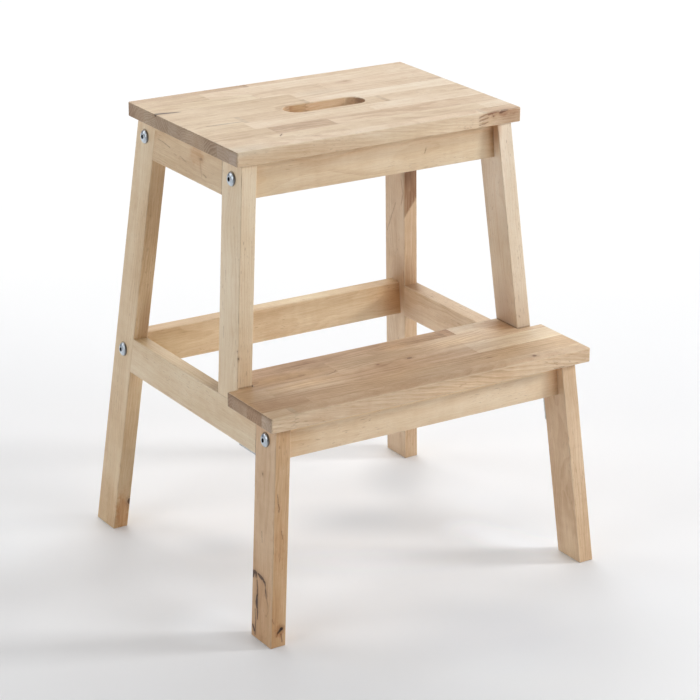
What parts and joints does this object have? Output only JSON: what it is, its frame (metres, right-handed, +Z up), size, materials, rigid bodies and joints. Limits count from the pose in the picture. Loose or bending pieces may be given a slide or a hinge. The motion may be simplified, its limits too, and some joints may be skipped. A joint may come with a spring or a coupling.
{
  "type": "step stool",
  "caption": "Wooden step stool with splayed legs, a lower tread notched round the front legs, a hand slot through the upper tread and domed bolts in its side frames.",
  "frame": {"origin": "on the floor under the centre of the stool's outer box", "axes": "+Z up, +Y to the back, -Y to the side with the lower tread, +X to the right as seen from the front"},
  "size_m": [0.42, 0.393, 0.5],
  "materials": {
    "top_tread_wood": "pale glued-stave hardwood, sanded, bare",
    "step_tread_wood": "glued-stave hardwood, sanded, bare",
    "leg_wood": "solid pale hardwood, sanded, bare",
    "rail_wood": "solid pale hardwood, sanded, bare",
    "dowel_wood": "turned hardwood, bare",
    "zinc_bolt": "bright zinc plate",
    "zinc_hardware": "dull zinc plate"
  },
  "bodies": {
    "root": {"top_tread": "top_tread_wood", "step_tread": "step_tread_wood", "rear_leg_left": "leg_wood", "upper_front_leg_left": "leg_wood", "lower_front_leg_left": "leg_wood", "upper_side_apron_left": "rail_wood", "lower_side_rail_left": "rail_wood", "rear_leg_right": "leg_wood", "upper_front_leg_right": "leg_wood", "lower_front_leg_right": "leg_wood", "upper_side_apron_right": "rail_wood", "lower_side_rail_right": "rail_wood", "upper_front_apron": "rail_wood", "upper_rear_apron": "rail_wood", "rear_mid_rail": "rail_wood", "lower_front_apron": "rail_wood", "bolt_upper_rear_left": "zinc_bolt", "barrel_nut_upper_rear_left": "zinc_hardware", "dowel_upper_rear_left": "dowel_wood", "bolt_upper_front_left": "zinc_bolt", "barrel_nut_upper_front_left": "zinc_hardware", "dowel_upper_front_left": "dowel_wood", "bolt_mid_rear_left": "zinc_bolt", "barrel_nut_mid_rear_left": "zinc_hardware", "dowel_mid_rear_left": "dowel_wood", "bolt_lower_front_left": "zinc_bolt", "barrel_nut_lower_front_left": "zinc_hardware", "dowel_lower_front_left": "dowel_wood", "bolt_upper_rear_right": "zinc_bolt", "barrel_nut_upper_rear_right": "zinc_hardware", "dowel_upper_rear_right": "dowel_wood", "bolt_upper_front_right": "zinc_bolt", "barrel_nut_upper_front_right": "zinc_hardware", "dowel_upper_front_right": "dowel_wood", "bolt_mid_rear_right": "zinc_bolt", "barrel_nut_mid_rear_right": "zinc_hardware", "dowel_mid_rear_right": "dowel_wood", "bolt_lower_front_right": "zinc_bolt", "barrel_nut_lower_front_right": "zinc_hardware", "dowel_lower_front_right": "dowel_wood", "top_screw_front_left": "zinc_hardware", "top_screw_rear_left": "zinc_hardware", "step_screw_left_1": "zinc_hardware", "step_screw_left_2": "zinc_hardware", "corner_bracket_left": "zinc_hardware", "bracket_screw_left_rail_1": "zinc_hardware", "bracket_screw_left_rail_2": "zinc_hardware", "bracket_screw_left_leg_1": "zinc_hardware", "bracket_screw_left_leg_2": "zinc_hardware", "top_screw_front_right": "zinc_hardware", "top_screw_rear_right": "zinc_hardware", "step_screw_right_1": "zinc_hardware", "step_screw_right_2": "zinc_hardware", "corner_bracket_right": "zinc_hardware", "bracket_screw_right_rail_1": "zinc_hardware", "bracket_screw_right_rail_2": "zinc_hardware", "bracket_screw_right_leg_1": "zinc_hardware", "bracket_screw_right_leg_2": "zinc_hardware"}
  },
  "joints": []
}
